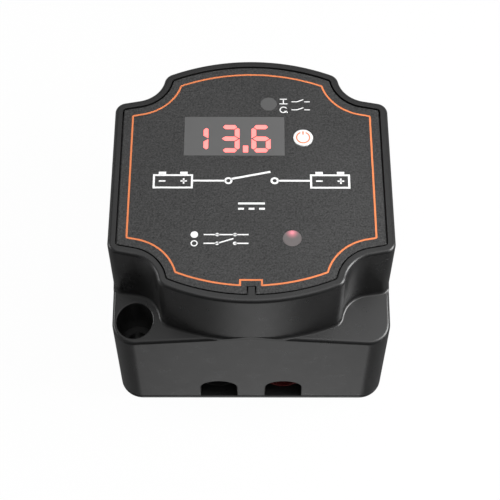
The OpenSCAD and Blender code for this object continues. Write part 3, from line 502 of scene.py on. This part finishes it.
def battery_signs():
    """Two batteries with their terminals, plus and minus, joined through an open switch."""
    y, outline, sign = -1.6, 0.5, 0.4
    made = []
    for x, s in ((-19.0, -1), (19.0, 1)):
        left, right, low, high = x - 4.6, x + 4.6, y - 2.0, y + 1.6
        made.append(line([(left, low), (right, low), (right, high), (left, high)], outline, True))
        for t in (-2.6, 2.6):
            made.append(level(x + t, y + 2.2, 0.9, 0.8))
            made.append(level(x + t, y - 0.1, 0.8, sign))
        made.append(line([(x + 2.6, y - 0.9), (x + 2.6, y + 0.7)], sign))
        made.append(line([(x - s * 4.85, y), (x - s * 12.6, y)], outline))
    for x in (-5.6, 5.6):
        made.append(circle_line(x, y, 0.75, outline))
    made.append(line([(-5.0, y + 0.5), (4.6, y + 2.6)], 0.55))
    return made


def current_sign():
    """The sign for direct current: a long line over three short ones."""
    y, width = -8.9, 0.55
    return [level(0.0, y + 0.75, 3.2, width)] + [level(x, y - 0.75, 0.7, width) for x in (-2.5, 0.0, 2.5)]


def contact_signs():
    """A filled dot with a closed contact over an empty dot with an open one."""
    x, width = -13.5, 0.34
    made = []
    for y, on in ((-16.9, True), (-19.3, False)):
        near, far, end = x + 5.4, x + 9.6, x + 12.8
        made.append(circle_line(x, y, *((0.45, 0.9) if on else (0.7, 0.28))))
        made.append(line([(x + 2.2, y), (near, y)], width))
        made.append(line([(near, y), (far, y) if on else (x + 9.2, y + 1.3)], width))
        made.append(line([(far, y), (end, y)], width))
        made.append(circle_line(near, y, 0.3, width))
        made.append(circle_line(far, y, 0.3, width))
    return made


def mode_signs():
    """Two small signs beside the upper light, each with an open contact."""
    x, high, low, width = 8.0, 22.2, 19.7, 0.26
    made = [level(x, high + 0.8, 0.9, width), line([(x, high + 0.8), (x, high - 0.5)], width),
            level(x, high - 0.65, 1.0, width), circle_line(x, low, 0.85, width, 30, 330)]
    made.append(line([(x + 0.2, low - 0.45), (x + 0.78, low - 0.42), (x + 0.95, low - 0.98)], 0.24))
    for y in (high, low):
        made.append(line([(x + 2.0, y), (x + 3.4, y)], width))
        made.append(line([(x + 3.4, y), (x + 5.0, y + 0.7)], width))
        made.append(line([(x + 5.2, y), (x + 6.6, y)], width))
    return made


def make_symbols():
    """White line art in place of the wording."""
    return joined("symbol_print", battery_signs() + current_sign() + contact_signs() + mode_signs())


def make_power_sign():
    """The ring with a gap and the short bar of the standby sign, printed on the button."""
    x, y = BUTTON
    low, high = BODY_H - 0.02, BODY_H + 0.015
    ring = stroke(arc((x, y), 1.6, 114, 426, 40), 0.3, low, high)
    bar = stroke([(x, y + 0.85), (x, y + 1.85)], 0.34, low, high)
    return joined("standby_print", [ring, bar])


def digit_bars():
    """The seven bars of a digit about its middle: mitred strips, a hair apart."""
    w, h = DIGIT_W / 2, DIGIT_H / 2
    side, deep, tip, bevel, half = 1.15, 1.2, 0.35, 0.65, 0.62
    top = [(-w + bevel, h - half), (-w + side + 0.09, h - deep), (w - side - 0.09, h - deep),
           (w - bevel, h - half), (w - side, h), (-w + side, h)]
    middle = [(-w + tip, 0), (-w + side + 0.05, -half), (w - side - 0.05, -half), (w - tip, 0),
              (w - side - 0.05, half), (-w + side + 0.05, half)]
    upright = [(w, 0.16), (w, h - 1.25), (w - 0.5, h - 0.9), (w - side, h - deep - 0.28), (w - side, 0.92)]
    top, middle, upright = np.array(top), np.array(middle), np.array(upright)
    return {"a": top, "g": middle, "d": top[::-1] * [1, -1], "b": upright, "c": upright[::-1] * [1, -1],
            "e": upright * [-1, -1], "f": upright[::-1] * [-1, 1]}


def make_digits():
    """Lit seven-bar digits on the face of the display, showing 13.6."""
    bars = digit_bars()
    made = []
    for x, shown in ((-13.0, "bc"), (-5.3, "abgcd"), (2.35, "afgecd")):
        for name in shown:
            made.append(prism("bar", bars[name] + [x, DIGIT_Y], PRINT_LOW, PRINT_HIGH))
    foot = DIGIT_Y - DIGIT_H / 2
    made.append(prism("dot", box_outline(-1.45, foot + 1.0, 1.25, 2.0, 0.1), PRINT_LOW, PRINT_HIGH))
    return joined("lit_digits", made)


# Finishes.
BLACK, WHITE = (0, 0, 0, 1), (1, 1, 1, 1)


class Value:
    """A number that varies over a surface. Sums and products of such numbers add their own Math nodes."""

    def __init__(self, tree, socket):
        self.tree, self.socket = tree, socket

    def maths(self, operation, a, b, clamp=False):
        step = self.tree.nodes.new("ShaderNodeMath")
        step.operation, step.use_clamp = operation, clamp
        for place, value in zip(step.inputs, (a, b)):
            if isinstance(value, Value):
                self.tree.links.new(value.socket, place)
            else:
                place.default_value = value
        return Value(self.tree, step.outputs[0])

    def __add__(self, other):
        return self.maths("ADD", self, other)

    __radd__ = __add__

    def __sub__(self, other):
        return self.maths("SUBTRACT", self, other)

    def __rsub__(self, other):
        return self.maths("SUBTRACT", other, self)

    def __mul__(self, other):
        return self.maths("MULTIPLY", self, other)

    __rmul__ = __mul__

    def __truediv__(self, other):
        return self.maths("DIVIDE", self, other)

    def __rtruediv__(self, other):
        return self.maths("DIVIDE", other, self)

    def __neg__(self):
        return self.maths("SUBTRACT", 0.0, self)

    def __abs__(self):
        return self.maths("ABSOLUTE", self, 0.0)

    def at_least(self, other):
        return self.maths("MAXIMUM", self, other)

    def clipped(self):
        return self.maths("ADD", self, 0.0, clamp=True)

    def sway(self, amount):
        """A noise about zero, times an amount."""
        return (self - 0.5) * amount


class Graph:
    """A node tree. node() adds any node and gives one of its outputs, and the other methods build on it."""

    def __init__(self, tree):
        self.tree = tree

    def node(self, kind, settings=None, sockets=None, out=0):
        step = self.tree.nodes.new(kind)
        for key, value in (settings or {}).items():
            setattr(step, key, value)
        for key, value in (sockets or {}).items():
            if isinstance(value, Value):
                self.tree.links.new(value.socket, step.inputs[key])
            else:
                step.inputs[key].default_value = value
        return Value(self.tree, step.outputs[out])

    def place(self):
        """The place on the object, in its own coordinates."""
        return self.node("ShaderNodeTexCoord", out=3)

    def noise(self, size_mm, detail=3.0, roughness=0.55):
        """Cloudy noise whose largest blobs are about size_mm across."""
        return self.node("ShaderNodeTexNoise", None, {
            "Vector": self.place(), "Scale": 1000.0 / size_mm, "Detail": detail, "Roughness": roughness})

    def blend(self, mask, first, second):
        """The first colour where the mask is 0 and the second where it is 1."""
        return self.node("ShaderNodeMix", {"data_type": "RGBA"}, {0: mask, 6: first, 7: second}, out=2)

    def mixed(self, factor, first, second):
        """The first shader where the factor is 0 and the second where it is 1."""
        return self.node("ShaderNodeMixShader", None, {0: factor, 1: first, 2: second})

    def camera_ray(self):
        """1 for what the camera sees directly, and 0 for all else."""
        return self.node("ShaderNodeLightPath", out=0)

    def glossy_ray(self):
        """1 for what is seen in a reflection, and 0 for all else."""
        return self.node("ShaderNodeLightPath", out=3)

    def show(self, shader, output):
        self.tree.links.new(shader.socket, self.tree.nodes[output].inputs["Surface"])


class Finish(Graph):
    """One material. The sockets of its Principled node are reached by name, with feed()."""

    def __init__(self, name, **constants):
        self.material = bpy.data.materials.new(name)
        self.material.use_nodes = True
        super().__init__(self.material.node_tree)
        self.surface = self.tree.nodes["Principled BSDF"]
        for socket, value in constants.items():
            self.surface.inputs[socket.replace("_", " ")].default_value = value

    def feed(self, **links):
        for socket, value in links.items():
            self.tree.links.new(value.socket, self.surface.inputs[socket.replace("_", " ")])

    def bump(self, height, strength, distance_mm):
        return self.node("ShaderNodeBump", None, {
            "Height": height, "Strength": strength, "Distance": distance_mm * MM})


def shade(colour, factor):
    return (*[min(1.0, c * factor) for c in colour[:3]], 1.0)


def moulded(name, colour, roughness=0.45, grain_mm=0.25, depth_mm=0.02, strength=0.25, spread=0.12):
    """Moulded plastic: fine spark grain, slow cloudy change of shade, and rubbed patches that shine more."""
    f = Finish(name, IOR=1.5)
    slow, fine, rub = f.noise(14.0, 3.0), f.noise(grain_mm, 2.0, 0.6), f.noise(5.0, 5.0, 0.7)
    mask = (slow.sway(1.6) + fine.sway(0.8) + 0.5).clipped()
    f.feed(Base_Color=f.blend(mask, shade(colour, 1 - spread), shade(colour, 1 + spread)))
    f.feed(Roughness=(roughness + rub.sway(0.16) + fine.sway(0.1)).clipped())
    f.feed(Normal=f.bump(fine, strength, depth_mm))
    return f.material


def bare_metal(name, colour, roughness=0.3, hair_mm=(0.08, 0.08, 3.0), strength=0.2):
    """Plated or turned metal: hairlines stretched along one way, and dull blotches from handling."""
    f = Finish(name, Metallic=1.0)
    mapped = f.node("ShaderNodeMapping", None, {"Vector": f.place(), "Scale": tuple(1.0 / b for b in hair_mm)})
    hair = f.node("ShaderNodeTexNoise", None, {"Vector": mapped, "Scale": 1000.0, "Detail": 2.0})
    blotch = f.noise(3.0, 4.0)
    f.feed(Base_Color=f.blend(blotch, shade(colour, 0.82), shade(colour, 1.08)))
    f.feed(Roughness=(roughness + blotch.sway(0.3) + hair.sway(0.12)).clipped())
    f.feed(Normal=f.bump(hair, strength, 0.01))
    return f.material


def rubbery(name, colour):
    """Soft rubber: dusty bloom in patches over a fine matte grain."""
    f = Finish(name, IOR=1.45)
    dust, fine = f.noise(4.0, 5.0, 0.65), f.noise(0.3, 2.0)
    f.feed(Base_Color=f.blend(((dust - 0.42) * 2.2).clipped(), shade(colour, 0.9), shade(colour, 1.5)))
    f.feed(Roughness=(0.62 + dust.sway(0.3)).clipped())
    f.feed(Normal=f.bump(fine, 0.4, 0.03))
    return f.material


def sandy_film(name, colour):
    """The label's film: a leathery sand texture of two grain sizes, mottled in shade and gloss. The strong
    speckle of the sand in its colour is painted glints off the grain.
    """
    f = Finish(name, IOR=1.47)
    leather, sand, slow = f.noise(1.0, 2.0, 0.6), f.noise(0.45, 2.0, 0.7), f.noise(22.0, 2.0)
    # The colour mask is partly random tone (slow, leather) and partly painted glints: the sand noise at 2.8
    # stands for the sparkle of light off the grain.
    mask = (slow.sway(0.5) + leather.sway(0.6) + sand.sway(2.8) + 0.5).clipped()
    f.feed(Base_Color=f.blend(mask, shade(colour, 0.4), shade(colour, 1.6)))
    f.feed(Roughness=(0.38 + sand.sway(0.4)).clipped())
    f.feed(Normal=f.bump(leather * 0.7 + sand * 0.6, 0.9, 0.2))
    return f.material


def ink(name, colour):
    """Screen-printed ink: slightly mottled, with a faint grain of its own."""
    f = Finish(name, IOR=1.45)
    mottle, fine = f.noise(0.5, 3.0), f.noise(0.12, 2.0)
    f.feed(Base_Color=f.blend(mottle, shade(colour, 0.86), shade(colour, 1.04)))
    f.feed(Roughness=(0.5 + mottle.sway(0.2)).clipped())
    f.feed(Normal=f.bump(fine, 0.2, 0.01))
    return f.material


def lens(name, colour, alpha=1.0, roughness=0.4, glow=None):
    """Smooth tinted plastic: faint smudges change its gloss, and how much a clear one lets through.

    A glow is (centre, radius in mm, tint, strength): light that fades towards the radius.
    """
    f = Finish(name, IOR=1.49)
    smudge = f.noise(3.5, 4.0, 0.6)
    f.feed(Base_Color=f.blend(smudge, shade(colour, 0.94), shade(colour, 1.05)))
    f.feed(Roughness=(roughness + smudge.sway(0.12)).clipped())
    if alpha < 1:
        f.feed(Alpha=(alpha + smudge.sway(0.06)).clipped())
    if glow:
        (x, y), radius, tint, strength = glow
        centre = (x * MM, y * MM, LABEL_TOP * MM)
        apart = f.node("ShaderNodeVectorMath", {"operation": "DISTANCE"}, {0: f.place(), 1: centre}, out=1)
        near = (1.0 - apart / (radius * MM)).clipped()
        f.feed(Emission_Color=f.blend(near * near, BLACK, tint))
        f.surface.inputs["Emission Strength"].default_value = strength
    return f.material


def lit(name, colour, strength):
    """A lit surface whose brightness wavers slightly from place to place."""
    f = Finish(name, Roughness=0.4, Emission_Strength=strength)
    tone = f.blend(f.noise(1.2, 2.0), shade(colour, 0.93), shade(colour, 1.05))
    f.feed(Base_Color=tone, Emission_Color=tone)
    return f.material


# Pieces and their finishes.
def cover(piece, material):
    piece.data.materials.clear()
    piece.data.materials.append(material)


def dress(piece, material, body, stands_for=()):
    cover(piece, material)
    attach(piece, body)
    if stands_for:
        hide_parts(*stands_for)


case_plastic = moulded("charcoal_plastic", (0.013, 0.013, 0.0132), 0.3, 0.22, 0.012, 0.18)
label_finish = sandy_film("label_film", (0.034, 0.034, 0.034))
orange_ink = ink("orange_ink", (0.80, 0.23, 0.08))
white_ink = ink("white_ink", (0.95, 0.95, 0.95))
button_white = moulded("white_button", (0.83, 0.83, 0.83), 0.18, 0.4, 0.005, 0.1, 0.02)
screw_zinc = bare_metal("zinc_screw", (0.62, 0.63, 0.66), 0.32)

dress(make_housing(), case_plastic, "case", ["housing"])
dress(make_base_plate(), case_plastic, "case", ["base_plate"])
dress(make_plate_screws(), screw_zinc, "case", ["base_plate_screws"])
dress(make_label(), label_finish, "case", ["label_overlay"])
dress(make_border(), orange_ink, "case")
dress(make_symbols(), white_ink, "case")
dress(make_button(), button_white, "button", ["power_button"])
dress(make_power_sign(), orange_ink, "button")
dress(make_digits(), lit("lit_digits", (1.0, 0.16, 0.15), 1.6), "case")

status_glow = ((STATUS_LIGHT[0], STATUS_LIGHT[1] + 1.6), 2.0, (1.0, 0.2, 0.28, 1), 1.1)
inner = {
    "display_window": lens("grey_window", (0.105, 0.105, 0.105)),
    "mode_led_window": lens("mode_lens", (0.09, 0.09, 0.09)),
    "status_led_window": lens("status_lens", (0.135, 0.12, 0.12), glow=status_glow),
    "button_switch": moulded("switch_body", (0.03, 0.03, 0.03), 0.4),
    "switch_plunger": moulded("switch_stem", (0.12, 0.12, 0.12), 0.4),
    "circuit_board": moulded("green_board", (0.02, 0.13, 0.045), 0.3, 0.5, 0.01, 0.2, 0.2),
    "board_screws": screw_zinc,
    "display_module": moulded("display_face", (0.03, 0.022, 0.022), 0.25),
    "mode_led": lens("clear_lamp", (0.7, 0.75, 0.7), 0.6, 0.15),
    "status_led": lit("lit_lamp", (1.0, 0.2, 0.15), 1.0),
    "controller_chip": moulded("chip_black", (0.02, 0.02, 0.02), 0.5),
    "driver_transistor": moulded("transistor_black", (0.024, 0.024, 0.024), 0.5),
    "flyback_diode": moulded("diode_black", (0.028, 0.028, 0.028), 0.5),
    "supply_capacitor": bare_metal("capacitor_can", (0.8, 0.81, 0.82), 0.28),
    "terminal_carrier": moulded("beige_moulding", (0.35, 0.27, 0.17), 0.55, 0.6, 0.02, 0.3, 0.18),
    "carrier_screws": screw_zinc,
    "input_stud": bare_metal("copper", (0.85, 0.42, 0.26)),
    "flat_washers": bare_metal("tinned_steel", (0.68, 0.68, 0.7), 0.35),
    # The red rubber's colour is painted dark: it adds painted shade to the boot's own red, because the boot
    # sits in the shadow behind the notch.
    "input_boot": rubbery("red_rubber", (0.10, 0.006, 0.006)),
    "output_boot": rubbery("black_rubber", (0.014, 0.014, 0.014)),
    "sense_strips": bare_metal("brass_strip", (0.78, 0.58, 0.25)),
    "fixed_contact_tips": bare_metal("silver_tip", (0.88, 0.88, 0.89)),
    "contact_spring": bare_metal("spring_wire", (0.6, 0.6, 0.63)),
    "pushrod": moulded("ivory_moulding", (0.62, 0.58, 0.45), 0.4),
    "plunger": bare_metal("soft_iron", (0.45, 0.46, 0.48), 0.38),
    "coil_winding": bare_metal("enamelled_wire", (0.6, 0.2, 0.06), 0.3, (3.0, 3.0, 0.25), 0.6),
}
same = {
    "output_stud": "input_stud", "spring_washers": "flat_washers", "stud_nuts": "flat_washers",
    "moving_contact_tips": "fixed_contact_tips", "contact_bridge": "input_stud",
    "pushrod_clip": "contact_spring", "return_spring": "contact_spring", "fixed_core": "plunger",
    "relay_frame": "plunger", "frame_top_plate": "plunger", "frame_screws": "board_screws",
    "coil_bobbin": "pushrod", "coil_pins": "flat_washers",
}
for name, other in same.items():
    inner[name] = inner[other]
for name, material in inner.items():
    cover(nodes[name], material)


def live_spring(name, node, body):
    """A copy of a wound spring, its points merged."""
    mesh = nodes[node].data.copy()
    shape = bmesh.new()
    shape.from_mesh(mesh)
    bmesh.ops.remove_doubles(shape, verts=shape.verts, dist=0.001 * MM)
    shape.to_mesh(mesh)
    shape.free()
    spring = bpy.data.objects.new(name, mesh)
    bpy.context.scene.collection.objects.link(spring)
    co = np.empty(len(mesh.vertices) * 3)
    mesh.vertices.foreach_get("co", co)
    mesh.shade_smooth()
    dress(spring, inner[node], body, [node])
    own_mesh(spring)


live_spring("return_coil", "return_spring", "case")
live_spring("contact_coil", "contact_spring", "armature")


# Studio.
def area_light(name, place, target, size, power):
    lamp = bpy.data.lights.new(name, "AREA")
    lamp.shape, lamp.size, lamp.size_y = "RECTANGLE", size[0], size[1]
    lamp.energy = power
    holder = bpy.data.objects.new(name, lamp)
    bpy.context.scene.collection.objects.link(holder)
    holder.location = place
    holder.rotation_euler = (Vector(target) - Vector(place)).to_track_quat("-Z", "Y").to_euler()


area_light("overhead_light", (0.1, -0.3, 0.8), (0, 0, 0.04), (0.9, 0.7), 1.2)
area_light("left_light", (-0.36, 0.05, 0.22), (0, 0, 0.03), (0.16, 0.2), 0.4)
area_light("right_light", (0.2, -0.03, 0.17), (0, 0, 0.03), (0.12, 0.14), 0.7)

# The floor: a wide disc just under the part.
FLOOR_R, FLOOR_Z, FLOOR_SIDES = 1500, -0.05, 96
FLOOR_DARK, FLOOR_LIGHT, FLOOR_GLOW = (0.80, 0.80, 0.80, 1), (0.84, 0.84, 0.84, 1), 0.97


def floor_material():
    """Plain white to the camera. Reflections look through it, at the dim room and its card."""
    f = Finish("white_floor", Roughness=0.9)
    f.feed(Base_Color=f.blend(f.noise(30.0, 2.0), FLOOR_DARK, FLOOR_LIGHT))
    lit_white = f.node("ShaderNodeEmission", None, {"Color": WHITE})
    pale = f.mixed(f.camera_ray() * FLOOR_GLOW, Value(f.tree, f.surface.outputs[0]), lit_white)
    f.show(f.mixed(f.glossy_ray(), pale, f.node("ShaderNodeBsdfTransparent")), "Material Output")
    return f.material


floor = put_mesh("floor", at_height(FLOOR_R * circle(FLOOR_SIDES), FLOOR_Z), [list(range(FLOOR_SIDES))])
floor.data.materials.append(floor_material())

# The room, by direction (x, y, z): dim, with one white card low in front of the object, a patch of sky above
# and behind it, a horizon all round except in front, and a faint ground. In room_tone() the bare factors before
# clipped() are the slopes of the soft edges.
ROOM_DIM, ROOM_STRENGTH = 0.03, 2.0
CARD_TONE, CARD_X, CARD_SPREAD, CARD_FADE, CARD_TOP, CARD_EDGE = 0.66, 0.03, 0.17, 0.34, -0.6, 0.1
SKY_TONE, SKY_X, SKY_NARROW, SKY_TILT, SKY_LOW, SKY_BACK = 1.75, 0.06, 1.8, 0.45, 0.62, 0.66
HORIZON_TONE, HORIZON_DEPTH, HORIZON_HIGH, HORIZON_FRONT = 0.4, 0.72, 0.85, 0.45
GROUND_TONE, GROUND_TOP = 0.2, -0.3


def room_tone(x, y, z):
    """How light the room is in a direction."""
    sideways = abs(x - CARD_X) / (-y).at_least(0.05)
    card = (1.0 - (sideways - CARD_SPREAD) / CARD_FADE).clipped() * ((CARD_TOP - z) / CARD_EDGE).clipped()
    sky = ((z + y * SKY_TILT - SKY_LOW) * 4.0).clipped() * ((SKY_BACK - y) * 6.0).clipped()
    sky = sky * (1.0 - abs(x - SKY_X) * SKY_NARROW).clipped() * SKY_TONE
    front = ((-y - HORIZON_FRONT) * 3.0).clipped()
    rise, fall = ((z + HORIZON_DEPTH) * 4.0).clipped(), ((HORIZON_HIGH - z) * 3.0).clipped()
    horizon = (1.0 - front) * rise * fall * HORIZON_TONE
    ground = (GROUND_TOP - z).clipped() * GROUND_TONE
    return card * CARD_TONE + sky.at_least(horizon) + ground + ROOM_DIM


world = bpy.data.worlds.new("studio")
bpy.context.scene.world = world
world.use_nodes = True
room = Graph(world.node_tree)
way = room.node("ShaderNodeSeparateXYZ", None, {0: room.place()}).socket.node
tone = room_tone(*[Value(room.tree, socket) for socket in way.outputs]) * (1 / ROOM_STRENGTH)
back = room.tree.nodes["Background"]
room.tree.links.new(room.blend(tone.clipped(), BLACK, WHITE).socket, back.inputs["Color"])
back.inputs["Strength"].default_value = ROOM_STRENGTH
plain = room.node("ShaderNodeBackground", None, {"Color": WHITE})
room.show(room.mixed(room.camera_ray(), Value(room.tree, back.outputs[0]), plain), "World Output")
bpy.context.scene.view_settings.view_transform = "Standard"

# The camera, fitted to the photograph's outline.
SENSOR_MM, LENS_MM, SHIFT_X = 36.0, 97.737, -0.00221
YAW_DEG, PITCH_DEG, ROLL_DEG, CAMERA_PLACE = -0.284, 59.085, 0.313, (0.0, -0.184532, 0.324681)
camera_data = bpy.data.cameras.new("camera")
camera_data.sensor_width, camera_data.lens, camera_data.shift_x = SENSOR_MM, LENS_MM, SHIFT_X
camera = bpy.data.objects.new("camera", camera_data)
bpy.context.scene.collection.objects.link(camera)
turn = Matrix.Rotation(math.radians(YAW_DEG), 3, "Z")
tilt = Matrix.Rotation(math.radians(90.0 - PITCH_DEG), 3, "X")
roll = Matrix.Rotation(math.radians(ROLL_DEG), 3, "Z")
camera.location = turn @ Vector(CAMERA_PLACE)
camera.rotation_euler = (turn @ (tilt @ roll)).to_euler()
bpy.context.scene.camera = camera
